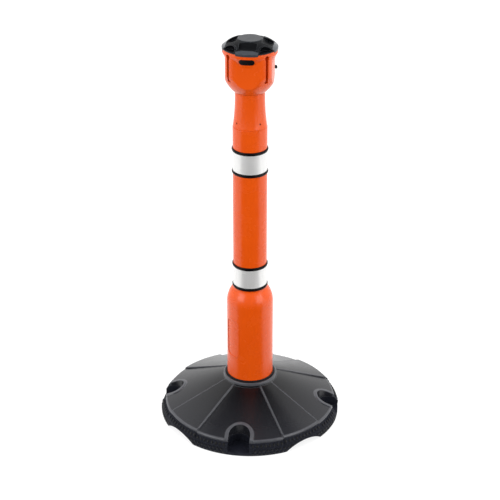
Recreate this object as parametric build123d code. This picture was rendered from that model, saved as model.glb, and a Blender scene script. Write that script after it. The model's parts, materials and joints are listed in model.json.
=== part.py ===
from build123d import *
import os
from math import asin, atan, cos, degrees, radians, sin, sqrt, tan

# Barrier post with a retractable tape head: a weighted base, a hollow post and a tape cassette.
# Millimetres, +Z up, origin on the floor under the middle of the base. The lock button faces -Y.

# Fits
running_gap = 0.05   # a piece that turns on its pin, on the radius
slip_gap = 0.4       # pieces that are put in and taken out by hand, on the radius
seat_gap = 0.15      # pieces that stay where they are fitted, on the radius
rest_gap = 0.2       # faces that rest on each other and come apart

# Making of the solids
overlap = 1          # parts of one moulding run this far into each other
cut_past = 10        # cuts run this far past the faces that they open

# Base
base_radius = 234
band_height = 22         # upright part of the weight's side
cover_inset = 10         # the cover's rim stands back from the side of the weight
cover_ledge = 0.5        # from the rim to the top edge of the weight's slope
rim_skirt_z = 32.5
rim_round = 5
cone_rim_z = 38.3        # height of the cone where it would meet the rim
cone_rise = 65.7
cover_wall = 4
cover_side = 3.5         # wall of the rim
cone_ledge = 1.6         # from the collar to the cone's top edge
petal_span = 30          # degrees of the raised panels between the notches
petal_rise = 4           # height of their step at the rim
petal_foot = 1.5         # height of their step at the collar
bead_radius = 1.8        # rounded edge along the step
bead_proud = 0.4
bead_gap = 3             # from the ends of a bead to the collar's foot and the rim's rounding
notch_width = 55
notch_depth = 55         # from the side of the weight to the round inner end
notch_floor = 9
notch_lip_radius = 6.5   # round bead along the edge of a notch
notch_lip_out = 4.6      # from the notch to the middle of its bead
notch_lip_proud = 2.4
finger_gap_width = 115
finger_gap_height = 21
finger_gap_depth = 45
recess_wall = 10         # between the recess underneath and the notches
recess_height = 24
rib_count = 8
rib_width = 10
rib_gap = 3              # from the ribs to the cup
foot_chamfer = 2

# Socket in the base
cup_wall = 3
cup_floor = 4
cup_floor_z = 12
cup_flange_width = 21.1
seal_height = 19
seal_proud = 4           # how far the seal stands above the collar
collar_wall = 6
collar_gap = 0.5         # from the cup to the collar
collar_height = 11       # above the top of the cone
collar_depth = 11.6      # below the top of the cone
collar_crest = 2.6       # from the bore to the highest line of the collar
collar_rounds = (2, 3)   # height of the rounding inside and outside the crest
seal_bevel = 0.8

# Screws in the base
screw_radius = 2.3
screw_head_radius = 5
screw_head_height = 3
cup_screw_length = 22
cup_screw_out = 11.1     # from the side of the cup
cover_screw_length = 42
cover_screw_in = 34.6    # from the side of the recess
boss_radius = 6
boss_z = 48

# Post
sleeve_radius = 59.5
sleeve_wall = 3
sleeve_top_z = 373
shoulder_round = 67
shoulder_lip = 3.7
tube_radius = 42.8
tube_wall = 2.8
tube_top_z = 810
tube_chamfer = 0.9
plug_flange = 4
plug_body = 16
plug_spigot = 40
plate_width = 46
plate_height = 111
plate_round = 16
plate_depth = 0.6
plate_frame = 3.5        # width of the raised frame round the plate
plate_proud = 0.6
plate_z = 235
plate_angle = 227        # degrees from +X
shoulder_step = 1.6      # wall left beside the tube at the top of the shoulder

# Reflective bands and their rings
ring_height = 8
ring_proud = 2.7         # beyond the tube
ring_flat = 1.0          # straight part of the ring's side next to the tube
band_pitch = 58.3        # from ring to ring
band_thickness = 0.5
upper_ring_drop = 60     # from the top of the tube to the upper ring's middle

# Neck
neck_height = 89
neck_taper = 6           # the neck's top is this much slimmer than the tube
neck_flare_height = 73
neck_foot_inset = 0.7    # the foot stands back from the tube
neck_foot_height = 2
neck_foot_chamfer = 0.7
neck_wall = 4.5
neck_socket_wall = 0.45   # thinnest wall, round the joiner
joiner_wall = 3.2
joiner_in_tube = 45
joiner_in_neck = 30
socket_end_gap = 2       # above the joiner
socket_taper = 4
neck_screw_height = 14.5  # above the foot of the neck
neck_screw_radius = 2
neck_screw_sunk = 1.4

# Head shell
head_half = 57           # from the axis to a flat face
head_corner = 33         # rounding of the square plan
head_top_room = 22       # from the tape's upper edge to the top of the rim
head_wall = 7
bowl_height = 31
bowl_over_side = 3.6     # the bowl's curve ends this far outside the flat faces
bowl_bulge = (0.61345, 15)  # a point on the bowl's curve: its share of the width and its height
bowl_lean = 8            # the bowl's upper part leans out this far past the rim
head_floor = 5
spigot_length = 54
spigot_wall = 3.4
flare_height = 25
flare_hollow = 1         # the flare's outline is hollow by this much
rim_height = 10
rim_bevel = 0.8
rim_over_corner = 0.06   # the rim stands just outside the rounded corners
slot_width = 6
slot_foot = 36
slot_bevel = 1.6
keyhole_radius = 5.5
keyhole_drop = 12        # below the top of the rim
channel_radius = 6
channel_depth = 8        # from the rim to the channel's middle

# Cap
cap_side = 1.5
cap_crown = 3            # the slope of the dome bulges by this much
cap_top = 20.8
cap_roof = 6             # thickness under the disc
disc_radius = 29.5
disc_height = 1.8
disc_round = 0.8
disc_ledge = 0.5         # flat ring round the disc
arch_radius = 19.5
arch_lift = 1            # the arches' centres are this far above the rim
arch_floor = 2
arch_lip = 4
arch_lip_proud = 1.2
tab_width = 54
tab_wall = 3.5           # of the part that hangs over the rim
tab_hang = 3
tab_proud = 0.8
tab_face = 2.2           # height of the upright face above the rim
tab_slope = (9.5, 6.6)   # of the sloping face above it, inwards and up
tab_crest = 1.5          # width of the tab's top
scoop_radius = 22
scoop_floor = 5.5        # lowest line of the scoop above the rim
scoop_length = 43.2
scoop_in = 16            # from the rim to the scoop's lowest line
skirt_wall = 3.2
skirt_depth = 6

# Spool, tape and recoil spring
spindle_radius = 4
spindle_boss = 9
spindle_seat = 2         # floor left under the spindle
washer_height = 1.5
arbor_radius = 9
hub_radius = 22
hub_wall = 4
flange_room = 4          # from the spool's flanges to the wall
flange_height = 2.4
tape_height = 50
tape_foot = 39           # lower edge of the tape above the head's foot
tape_roll_in = 8         # the roll stands back from the flanges' edge
tape_thickness = 0.8
tape_room = 1.5          # above and below the tape in its window
tape_side_room = 5.2     # beside the tape in its window
roll_gap = 0.3
spring_turns = 6
spring_strip = 0.8
spring_inner = 10.5
spring_height = 18
spring_lift = 2          # above the floor of its case
case_over_bore = 0.7     # the case is this much wider than the neck's bore
case_wall = 2
clip_radius = 7.5
clip_height = 1.2
end_width = 9
end_depth = 6
end_height = 55
end_stud_radius = 4.6
end_stud_neck = 2.4
end_stud_length = 7
end_stud_head = 2
end_stud_z = 7.6         # above the bar's lower end
end_round = 2.4
end_bevel = 0.8

# Lock button and brake
button_width = 38
button_height = 15.5
button_drop = 18.2       # below the top of the rim
button_proud = 1.2
button_round = 1
button_travel = 3
button_flange = 2.2
button_flange_edge = 1.6
pocket_room = 2          # round the button's flange
pocket_depth = 4         # into the wall of the head
shoe_width = 12
brake_gap = 0.5          # left between the shoe and the lid when the button is down
shoe_height = 12
leaf_thickness = 0.5
leaf_width = 4.5
leaf_bar = 7             # height of the bar that joins the two leaves
leaf_top = 6             # the bar's top, above the button's flange

# Directions
diagonals = (45, 135, 225, 315)
sides = (0, 90, 180, 270)
tape_angle = 45
button_angle = 270

# Worked-out heights and radii
cup_bore = sleeve_radius + slip_gap
cup_radius = cup_bore + cup_wall
cup_flange_radius = cup_radius + cup_flange_width
cup_screw_circle = cup_radius + cup_screw_out
collar_bore = cup_radius + collar_gap
cone_top_radius = cup_radius + collar_wall + cone_ledge
collar_foot = cone_top_radius + overlap
cone_top_z = cone_rim_z + cone_rise
cover_radius = base_radius - cover_inset
cone_slope = cone_rise / (cover_radius - cone_top_radius)
cone_lean = atan(cone_slope)
cover_drop = cover_wall / cos(cone_lean)
notch_centre = base_radius - notch_depth + notch_width / 2
recess_radius = base_radius - notch_depth - cover_wall - slip_gap - recess_wall
cover_screw_circle = recess_radius - cover_screw_in
collar_z = cone_top_z + collar_height
seal_z = collar_z + seal_proud - seal_height
cup_top_z = cup_floor_z + cup_floor
post_z = cup_top_z + rest_gap
tube_bore = tube_radius - tube_wall
ring_radius = tube_radius + ring_proud
tube_foot_z = post_z + plug_flange + plug_body
upper_rings = (tube_top_z - upper_ring_drop, tube_top_z - upper_ring_drop - band_pitch)
lower_ring = sleeve_top_z + ring_height / 2
lower_rings = (lower_ring + band_pitch, lower_ring)
neck_top_z = tube_top_z + neck_height
neck_radius = tube_radius - neck_taper
neck_foot_radius = tube_radius - neck_foot_inset
neck_bore = neck_radius - neck_wall
neck_socket = neck_radius - neck_socket_wall
head_z = neck_top_z + rest_gap
head_height = tape_foot + tape_height + head_top_room
rim_z = head_z + head_height
rim_radius = (head_half - head_corner) * sqrt(2) + head_corner + rim_over_corner
cavity_radius = head_half - head_wall
bowl_radius = head_half + bowl_over_side
flare_z = head_height - rim_height - flare_height
keyhole_z = head_height - keyhole_drop
channel_centre = rim_radius - channel_depth
button_z = head_height - button_drop
flange_radius = cavity_radius - flange_room
tape_roll_radius = flange_radius - tape_roll_in
case_radius = neck_bore + case_over_bore
hub_foot = tape_foot - rest_gap - flange_height


def at(point):
    """Point of an outline that is turned about Z, from its radius and height."""
    return (point[0], 0, point[1])


def turned(start, *steps):
    """Solid turned about Z. A step is a point, or a pair of points for an arc through the first."""
    edges = []
    here = start
    for step in steps + (start,):
        if isinstance(step[0], tuple):
            edges.append(ThreePointArc(at(here), at(step[0]), at(step[1])))
            here = step[1]
        else:
            edges.append(Line(at(here), at(step)))
            here = step
    return revolve(make_face(edges), Axis.Z)


def round_over(side, crest):
    """Middle of a rounded edge between an upright side and a level crest."""
    share = 1 - cos(radians(45))
    return (side[0] + (crest[0] - side[0]) * share, crest[1] + (side[1] - crest[1]) * share)


def rod(radius, low, high):
    """Round bar about Z between two heights."""
    return Pos(0, 0, (low + high) / 2) * Cylinder(radius, high - low)


def tube(outer, inner, low, high):
    """Round tube about Z between two heights."""
    return rod(outer, low, high) - rod(inner, low, high)


def block(x, y, z):
    """Box between the two limits given for each direction."""
    middle = Pos(sum(x) / 2, sum(y) / 2, sum(z) / 2)
    return middle * Box(x[1] - x[0], y[1] - y[0], z[1] - z[0])


def turn(angle, solid):
    """A solid that was made along +X, turned about Z."""
    return Rot(0, 0, angle) * solid


def around(angles, solid):
    """One copy of a solid for each angle."""
    return [turn(angle, solid) for angle in angles]


# Base

def cone_height(radius):
    """Height of the panels with the notches."""
    return cone_top_z - cone_slope * (radius - cone_top_radius)


def petal_height(radius):
    """Height of the raised panels between them."""
    share = (radius - cone_top_radius) / (cover_radius - cone_top_radius)
    return cone_height(radius) + petal_foot + (petal_rise - petal_foot) * share


def cone_form(height, drop, inset, low):
    """Filled cone with a rim, lowered by drop, with its rim moved in by inset.

    The outside has a rounded rim. The forms inside it have a straight bevel there.
    """
    rim = cover_radius - inset
    bend = rim_round - inset
    lean = atan((height(cone_top_radius) - height(rim)) / (rim - cone_top_radius))
    half_turn = (radians(90) - lean) / 2
    tangent = bend * tan(half_turn)
    corner_z = height(rim) - drop
    bend_middle = (rim - bend + bend * cos(half_turn), corner_z - tangent + bend * sin(half_turn))
    bend_end = (rim - tangent * cos(lean), corner_z + tangent * sin(lean))
    rim_end = bend_end if inset else (bend_middle, bend_end)
    top = height(cone_top_radius) - drop
    return turned((0, low), (rim, low), (rim, corner_z - tangent), rim_end, (cone_top_radius, top), (0, top))


def petal_sector(inset, low, high):
    """Upright wedge under one raised panel, with its sides moved in by inset, made along +X."""
    half = radians(petal_span / 2)
    tip = inset / sin(half)
    far = base_radius + cut_past
    spread = (far - tip) * tan(half)
    plan = make_face(Polyline((tip, 0), (far, -spread), (far, spread), close=True))
    return Pos(0, 0, low) * extrude(plan, high - low)


def cover_form(drop, inset, low):
    """Filled form of the cover with its raised panels."""
    form = cone_form(cone_height, drop, inset, low)
    petal = cone_form(petal_height, drop, inset, low) & petal_sector(inset, low, collar_z)
    for angle in diagonals:
        form += turn(angle, petal)
    return form


def notch_prism(grow, low, high):
    """Upright prism of a notch, widened by grow."""
    half = notch_width / 2 + grow
    reach = base_radius + cut_past - notch_centre
    plan = Pos(notch_centre, 0) * Circle(half) + Pos(notch_centre + reach / 2, 0) * Rectangle(reach, 2 * half)
    return Pos(0, 0, low) * extrude(plan, high - low)


def crease_bead():
    """Rounded edge along one side of a raised panel."""
    inner = cone_top_radius + bead_gap
    outer = cover_radius - rim_round - bead_gap
    sunk = (bead_radius - bead_proud) / cos(cone_lean)
    start = Vector(inner, 0, petal_height(inner) - sunk)
    end = Vector(outer, 0, petal_height(outer) - sunk)
    run = Plane(origin=(start + end) * 0.5, z_dir=end - start)
    return run * Cylinder(bead_radius, (end - start).length)


def notch_lip():
    """Round bead along the edge of a notch, laid on the slope of the cover, made along +X."""
    offset = notch_width / 2 + notch_lip_out
    run = 2 * notch_depth
    size = 2 * offset
    lip = Torus(offset, notch_lip_radius) & block((-size, 0), (-size, size), (-size, size))
    for side in (-1, 1):
        lip += Pos(run / 2, side * offset, 0) * Rot(0, 90, 0) * Cylinder(notch_lip_radius, run)
    sunk = notch_lip_radius - notch_lip_proud
    slope = Pos(notch_centre, 0, cone_height(notch_centre)) * Rot(0, degrees(cone_lean), 0)
    return slope * Pos(0, 0, -sunk) * lip


def collar():
    """Ring round the post at the top of the cover."""
    foot_z = cone_top_z - collar_depth
    crest = (collar_bore + collar_crest, collar_z)
    inside = (collar_bore, collar_z - collar_rounds[0])
    outside = (collar_bore + collar_wall, collar_z - collar_rounds[1])
    return turned((collar_bore, foot_z), inside, (round_over(inside, crest), crest),
                  (round_over(outside, crest), outside), (collar_foot, cone_top_z - overlap),
                  (collar_foot, foot_z))


def base_cover():
    skin = cover_form(0, 0, rim_skirt_z)
    hollow = cover_form(cover_drop, cover_side, rim_skirt_z)
    raised = cover_form(-notch_lip_proud, 0, rim_skirt_z)
    cover = skin - hollow
    for angle in diagonals:
        cover -= turn(angle, petal_sector(0, rim_skirt_z - overlap, rim_skirt_z + petal_rise))
    creases = [angle + side * petal_span / 2 for angle in diagonals for side in (-1, 1)]
    for angle in creases:
        cover += turn(angle, crease_bead())
    cover += collar()
    top = collar_z + cut_past
    for angle in sides:
        cover += (turn(angle, notch_lip()) & raised) - hollow
        cover += skin & turn(angle, notch_prism(cover_wall, rim_skirt_z, top))
    for angle in sides:
        cover -= turn(angle, notch_prism(0, 0, top))
    cover -= rod(collar_bore, 0, top)
    for angle in diagonals:
        boss = Pos(cover_screw_circle, 0, 0) * tube(boss_radius, screw_radius + seat_gap, boss_z, top)
        cover += turn(angle, boss) & cover_form(cover_wall / 2, cover_side, rim_skirt_z)
    return cover


def finger_gap():
    """Arched gap under the edge of the weight, made along +X."""
    half = finger_gap_width / 2
    inner = base_radius - finger_gap_depth
    left = (inner, -half, 0)
    right = (inner, half, 0)
    arch = ThreePointArc(left, (inner, 0, finger_gap_height), right)
    below = Polyline(right, (inner, half, -cut_past), (inner, -half, -cut_past), left)
    return extrude(make_face([arch] + below.edges()), finger_gap_depth + cut_past, dir=(1, 0, 0))


def weight_foot(lift):
    """Lower part of the weight: an upright side and a slope up to the cover's rim."""
    top = rim_skirt_z + lift - rest_gap
    return turned((0, 0), (base_radius - foot_chamfer, 0), (base_radius, foot_chamfer),
                  (base_radius, band_height + lift), (cover_radius + cover_ledge, top), (0, top))


def base_weight():
    lower = weight_foot(0)
    shoulder = weight_foot(petal_rise) & petal_sector(slip_gap, foot_chamfer, collar_z)
    for angle in diagonals:
        lower += turn(angle, shoulder)
    for angle in diagonals:
        lower -= turn(angle, finger_gap())
    weight = lower + cover_form(cover_drop + slip_gap, cover_side + slip_gap, rim_skirt_z - overlap)
    weight -= rod(collar_foot + slip_gap, cone_top_z - collar_depth - slip_gap, collar_z)
    weight -= rod(cup_radius + seat_gap, 0, collar_z)
    recess = rod(recess_radius, 0, recess_height)
    for index in range(rib_count):
        angle = 360 / rib_count * (index + 0.5)
        rib = block((cup_flange_radius + rib_gap, recess_radius + cut_past),
                    (-rib_width / 2, rib_width / 2), (foot_chamfer, recess_height))
        recess -= turn(angle, rib)
    weight -= recess
    for angle in sides:
        weight -= turn(angle, notch_prism(0, notch_floor, collar_z))
        weight -= turn(angle, notch_prism(cover_wall + slip_gap, rim_skirt_z - rest_gap, collar_z))
    for angle in diagonals:
        shank = Pos(cover_screw_circle, 0, 0) * rod(screw_radius + slip_gap, 0, collar_z)
        boss = Pos(cover_screw_circle, 0, 0) * rod(boss_radius + slip_gap, boss_z - slip_gap, collar_z)
        thread_end = recess_height + cup_screw_length
        thread = Pos(cup_screw_circle, 0, 0) * rod(screw_radius + seat_gap, 0, thread_end)
        weight -= turn(angle, shank + boss + thread)
    return weight


def socket_cup():
    flange_z = recess_height - cup_floor
    cup = turned((0, cup_floor_z), (cup_radius, cup_floor_z), (cup_radius, flange_z),
                 (cup_flange_radius, flange_z), (cup_flange_radius, recess_height),
                 (cup_radius, recess_height), (cup_radius, seal_z), (cup_bore, seal_z),
                 (cup_bore, cup_top_z), (0, cup_top_z))
    for angle in diagonals:
        cup -= turn(angle, Pos(cup_screw_circle, 0, 0) * rod(screw_radius + seat_gap, 0, collar_z))
    return cup


def socket_seal():
    """Rubber ring between the collar and the post, with a bevelled top."""
    inner = sleeve_radius + slip_gap
    outer = collar_bore - seat_gap
    top = seal_z + seal_height
    return turned((inner, seal_z), (outer, seal_z), (outer, collar_z - collar_rounds[0]),
                  (outer - seal_bevel, top - 2 * seal_bevel), (inner + seal_bevel, top),
                  (inner, top - seal_bevel))


def base_screw(length, low):
    """Pan-head screw that points up, with the underside of its head at the height given."""
    return rod(screw_radius, low, low + length) + rod(screw_head_radius, low - screw_head_height, low)


def cup_screws():
    screw = base_screw(cup_screw_length, recess_height - cup_floor)
    return around(diagonals, Pos(cup_screw_circle, 0, 0) * screw)


def cover_screws():
    screw = base_screw(cover_screw_length, recess_height)
    return around(diagonals, Pos(cover_screw_circle, 0, 0) * screw)


# Post

def post_sleeve():
    inner = sleeve_radius - sleeve_wall
    lip = tube_radius + seat_gap + shoulder_step
    centre = sleeve_radius - shoulder_round
    arc_z = sleeve_top_z - shoulder_lip - sqrt(shoulder_round ** 2 - (lip - centre) ** 2)

    def on_arc(round_radius, radius):
        return (radius, arc_z + sqrt(round_radius ** 2 - (radius - centre) ** 2))

    inner_round = shoulder_round - sleeve_wall
    hole = tube_radius + seat_gap
    foot = post_z + plug_flange
    sleeve = turned((inner, foot), (sleeve_radius, foot), (sleeve_radius, arc_z),
                    (on_arc(shoulder_round, (sleeve_radius + lip) / 2), on_arc(shoulder_round, lip)),
                    (lip, sleeve_top_z), (hole, sleeve_top_z), on_arc(inner_round, hole),
                    (on_arc(inner_round, (inner + hole) / 2), (inner, arc_z)))
    raised = tube(sleeve_radius + plate_proud, sleeve_radius - overlap, foot, sleeve_top_z)
    sleeve += turn(plate_angle, plate_prism(0) & raised)
    sunk = plate_prism(plate_frame) - rod(sleeve_radius - plate_depth, 0, sleeve_top_z)
    return sleeve - turn(plate_angle, sunk)


def plate_prism(inset):
    """Prism through the sleeve's bare plate, made along +X."""
    panel = RectangleRounded(plate_width - 2 * inset, plate_height - 2 * inset, plate_round - inset)
    return Pos(sleeve_radius - cut_past, 0, plate_z) * extrude(Plane.YZ * panel, 2 * cut_past)


def post_tube():
    edge_z = tube_top_z - tube_chamfer
    return turned((tube_bore, tube_foot_z), (tube_radius, tube_foot_z), (tube_radius, edge_z),
                  (tube_radius - tube_chamfer, tube_top_z), (tube_bore, tube_top_z))


def foot_plug():
    body = sleeve_radius - sleeve_wall - seat_gap
    flange_z = post_z + plug_flange
    plug = rod(sleeve_radius, post_z, flange_z) + rod(body, flange_z, tube_foot_z)
    plug += rod(tube_bore - seat_gap, tube_foot_z, tube_foot_z + plug_spigot)
    return plug - rod(tube_bore - 2 * tube_wall, flange_z + plug_flange, tube_foot_z + plug_spigot)


def band_ring(height):
    """Black ring round the tube with a rounded outside."""
    inner = tube_radius + seat_gap
    low = height - ring_height / 2
    high = height + ring_height / 2
    return turned((inner, low), (inner + ring_flat, low), ((ring_radius, height), (inner + ring_flat, high)),
                  (inner, high))


def reflective_band(rings):
    low = min(rings) + ring_height / 2
    high = max(rings) - ring_height / 2
    inner = tube_radius + seat_gap
    return tube(inner + band_thickness, inner, low, high)


def neck_joiner():
    """Stepped tube that is fixed in the top of the post and carries the neck."""
    outer = tube_bore - seat_gap
    upper = neck_socket - seat_gap
    inner = upper - joiner_wall
    joiner = turned((inner, tube_top_z - joiner_in_tube), (outer, tube_top_z - joiner_in_tube),
                    (outer, tube_top_z), (upper, tube_top_z), (upper, tube_top_z + joiner_in_neck),
                    (inner, tube_top_z + joiner_in_neck))
    return neck_screw_holes(joiner, seat_gap)


def neck_screw_holes(solid, gap):
    drill = Cylinder(neck_screw_radius + gap, neck_foot_radius)
    hole = Pos(neck_foot_radius, 0, 0) * Rot(0, 90, 0) * drill
    for angle in diagonals:
        solid -= Pos(0, 0, tube_top_z + neck_screw_height) * turn(angle, hole)
    return solid


def neck_surface(height):
    """Radius of the neck's flare at a height."""
    fall = (tube_top_z + neck_foot_height + neck_flare_height - height) / neck_flare_height
    return neck_radius + (neck_foot_radius - neck_radius) * fall ** 2


def neck_curve():
    """Foot, middle and top of the neck's flare."""
    spread = neck_foot_radius - neck_radius
    foot_z = tube_top_z + neck_foot_height
    middle = (neck_radius + spread / 4, foot_z + neck_flare_height / 2)
    return (neck_foot_radius, foot_z), middle, (neck_radius, foot_z + neck_flare_height)


def neck():
    foot, middle, top = neck_curve()
    socket_top = tube_top_z + joiner_in_neck + socket_end_gap
    solid = turned((neck_socket, tube_top_z), (neck_foot_radius - neck_foot_chamfer, tube_top_z),
                   (neck_foot_radius, tube_top_z + neck_foot_chamfer), foot, (middle, top),
                   (neck_radius, neck_top_z), (neck_bore, neck_top_z), (neck_bore, socket_top + socket_taper),
                   (neck_socket, socket_top))
    return neck_screw_holes(solid, slip_gap)


def neck_screws():
    """Grub screws through the foot of the neck, sunk below its surface."""
    outer = neck_surface(tube_top_z + neck_screw_height) - neck_screw_sunk
    inner = neck_socket - seat_gap - joiner_wall
    screw = Pos((outer + inner) / 2, 0, 0) * Rot(0, 90, 0) * Cylinder(neck_screw_radius, outer - inner)
    return around(diagonals, Pos(0, 0, tube_top_z + neck_screw_height) * screw)


# Head

def flare_form(grow):
    """Round flare, hollow in outline, and the rim at the top of the head."""
    foot = head_half + grow
    rim = rim_radius + grow
    middle = ((foot + rim) / 2 - flare_hollow, flare_z + flare_height / 2)
    form = turned((0, flare_z), (foot, flare_z), (middle, (rim, flare_z + flare_height)),
                  (rim, head_height - rim_bevel), (rim - rim_bevel, head_height), (0, head_height))
    return Pos(0, 0, head_z) * form


def pill(width, height, near, far):
    """Bar with round ends across the button's face, made along +X."""
    section = Plane.YZ * SlotOverall(width, height)
    return Pos(near, 0, head_z + button_z) * extrude(section, far - near)


def button_pocket():
    """Room behind the button for its flange, made along +X."""
    half_width = button_width / 2 + button_flange_edge + pocket_room
    half_height = button_height / 2 + button_flange_edge + pocket_room
    middle = head_z + button_z
    return block((cavity_radius - cut_past, cavity_radius + pocket_depth), (-half_width, half_width),
                 (middle - half_height, middle + half_height))


def leaf_slot(gap):
    """Upper end of the leaf spring, in the head's wall."""
    half_width = button_width / 2 + gap
    x = leaf_place(gap)
    return block(x, (-half_width, half_width), (leaf_top_z() - leaf_bar, leaf_top_z() + gap))


def leaf_top_z():
    return head_z + button_z + button_height / 2 + button_flange_edge + leaf_top


def leaf_place(gap):
    """Near and far face of the leaf spring behind the button's flange."""
    far = cavity_radius + pocket_depth - button_flange - 2 * rest_gap
    return (far - leaf_thickness - gap, far + gap)


def keyhole_slot():
    """Upright slot with a round entry at its top and bevelled edges, through a corner, made along +X."""
    foot = slot_foot + slot_width / 2
    half = slot_width / 2
    far = rim_radius + cut_past
    mouth = rim_radius - slot_bevel
    slot = block((channel_centre, far), (-half, half), (foot, keyhole_z))
    spread = half + far - mouth
    bevel = make_face(Polyline((mouth, -half), (far, -spread), (far, spread), (mouth, half), close=True))
    slot += Pos(0, 0, foot) * extrude(bevel, keyhole_z - foot)
    for radius, height in ((half, foot), (keyhole_radius, keyhole_z)):
        hole = rod(radius, channel_centre, far)
        edge = Pos(0, 0, (mouth + far) / 2) * Cone(radius, radius + far - mouth, far - mouth)
        slot += Pos(0, 0, height) * Rot(0, 90, 0) * (hole + edge)
    slot += Pos(channel_centre, 0, 0) * rod(channel_radius, slot_foot, head_height + overlap)
    return Pos(0, 0, head_z) * slot


def tape_lean():
    """Angle at which the tape comes off the roll to the middle of its channel."""
    return asin((tape_roll_radius + roll_gap + tape_thickness / 2) / channel_centre)


def tape_window():
    """Opening from the spool's room to the slot that the tape leaves by, made along +X."""
    low = head_z + tape_foot - tape_room
    sweep = (channel_centre - cavity_radius) * tan(tape_lean()) + tape_side_room
    return block((cavity_radius - cut_past, channel_centre), (-sweep, slot_width / 2),
                 (low, low + tape_height + 2 * tape_room))


def head_shell():
    plan = extrude(RectangleRounded(2 * head_half, 2 * head_half, head_corner), head_height)
    bulge = (neck_radius + bowl_bulge[0] * (bowl_radius - neck_radius), bowl_bulge[1])
    top = rim_radius + bowl_lean
    bowl = turned((0, 0), (neck_radius, 0), (bulge, (bowl_radius, bowl_height)), (top, flare_z),
                  (top, head_height), (0, head_height))
    body = (Pos(0, 0, head_z) * plan + flare_form(0)) & (Pos(0, 0, head_z) * bowl)
    room = turned((0, head_floor), (neck_bore, head_floor), (cavity_radius, bowl_height - head_wall),
                  (cavity_radius, head_height), (0, head_height))
    body -= Pos(0, 0, head_z) * room
    spigot = neck_bore - slip_gap
    body += tube(spigot, spigot - spigot_wall, head_z - spigot_length, head_z + overlap)
    body += rod(spindle_boss, head_z, head_z + spindle_boss)
    body -= rod(spindle_radius + seat_gap, head_z + spindle_seat, rim_z)
    for angle in diagonals:
        body -= turn(angle, keyhole_slot())
    body -= turn(tape_angle, tape_window())
    hole = pill(button_width, button_height, cavity_radius - cut_past, rim_radius + cut_past)
    body -= turn(button_angle, hole + button_pocket() + leaf_slot(seat_gap))
    for angle in sides:
        body -= tab_hanger(seat_gap) & tab_limit(angle, seat_gap)
    return body


def tab_limit(angle, grow):
    """Block as wide as one tab of the cap."""
    half = tab_width / 2 + grow
    return turn(angle, block((0, 2 * rim_radius), (-half, half), (head_z, rim_z + 2 * cap_top)))


def tab_hanger(grow):
    """Ring that the hanging parts of the tabs are cut from, or their seats in the rim when grown."""
    low = rim_z - tab_hang - grow
    return tube(rim_radius + tab_proud + grow, rim_radius - tab_wall - grow, low, rim_z + overlap)


def tab_crown():
    """Ring that the upper parts of the tabs are cut from: an upright face and a sloping one above it."""
    outer = rim_radius + tab_proud
    crest = outer - tab_slope[0]
    face_z = rim_z + tab_face
    crest_z = face_z + tab_slope[1]
    foot_z = rim_z + overlap / 2
    return turned((crest - tab_crest, foot_z), (outer, foot_z), (outer, face_z), (crest, crest_z),
                  (crest - tab_crest, crest_z))


def dome(lift):
    """Filled dome of the cap: a low cone with a slight crown, lifted by lift."""
    side_z = cap_side + lift
    top = (disc_radius + disc_ledge, cap_top + lift)
    run = rim_radius - top[0]
    rise = top[1] - side_z
    push = cap_crown / sqrt(run ** 2 + rise ** 2)
    middle = ((rim_radius + top[0]) / 2 + rise * push, (side_z + top[1]) / 2 + run * push)
    solid = turned((0, 0), (rim_radius, 0), (rim_radius, side_z), (middle, top), (0, top[1]))
    return Pos(0, 0, rim_z) * solid


def cap():
    top_z = rim_z + cap_top
    skirt_radius = cavity_radius - slip_gap
    room_radius = skirt_radius - skirt_wall
    shell = dome(0)
    arch = Pos(rim_radius, 0, rim_z + arch_lift)
    for angle in diagonals:
        lip = arch * Sphere(arch_radius + arch_lip)
        shell += turn(angle, lip) & dome(arch_lip_proud)
    for angle in sides:
        low = Pos(rim_radius - scoop_in, 0, rim_z + scoop_floor + scoop_radius)
        shell -= turn(angle, low * Rot(90, 0, 0) * Cylinder(scoop_radius, scoop_length))
        shell += tab_crown() & tab_limit(angle, 0)
        shell += tab_hanger(0) & tab_limit(angle, 0)
    floor = rod(2 * rim_radius, rim_z - arch_radius, rim_z + arch_floor)
    for angle in diagonals:
        shell -= turn(angle, arch * Sphere(arch_radius)) - floor
    shell += rod(skirt_radius, rim_z - skirt_depth, rim_z + cap_side)
    room_z = top_z - cap_roof
    shell -= turned((0, rim_z - skirt_depth), (room_radius, rim_z - skirt_depth), (room_radius, rim_z),
                    (disc_radius, room_z), (0, room_z))
    disc_z = top_z + disc_height
    disc = turned((0, top_z - overlap), (disc_radius, top_z - overlap), (disc_radius, disc_z - disc_round),
                  (disc_radius - disc_round, disc_z), (0, disc_z))
    boss = rod(spindle_boss, rim_z - skirt_depth, top_z) - rod(spindle_radius + seat_gap, 0, rim_z)
    return shell + disc + boss


def spindle():
    return rod(spindle_radius, head_z + spindle_seat, rim_z - rest_gap)


def thrust_washer():
    low = head_z + spindle_boss
    return tube(arbor_radius, spindle_radius + seat_gap, low, low + washer_height)


def spring_case():
    """Cup round the recoil spring, on the floor of the head."""
    low = head_z + head_floor
    high = head_z + hub_foot - 2 * case_wall
    inner = case_radius - case_wall
    foot = neck_bore - seat_gap
    hole = spindle_boss + seat_gap
    return turned((hole, low), (foot, low), (case_radius, low + overlap), (case_radius, high),
                  (inner, high), (inner, low + case_wall), (hole, low + case_wall))


def spring_cover():
    low = head_z + hub_foot - 2 * case_wall
    return tube(case_radius, arbor_radius + slip_gap, low, low + case_wall - rest_gap)


def spiral_half_turns(start, step, turns):
    """Half circles of a flat spiral that grows by step each turn, as edges in the XY plane."""
    edges = []
    radius = start
    centre = 0.0
    side = 1
    for _ in range(2 * turns):
        here = (centre + side * radius, 0)
        middle = (centre, side * radius)
        there = (centre - side * radius, 0)
        edges.append(ThreePointArc(here, middle, there))
        radius += step / 2
        centre = there[0] + side * radius
        side = -side
    return edges


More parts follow.
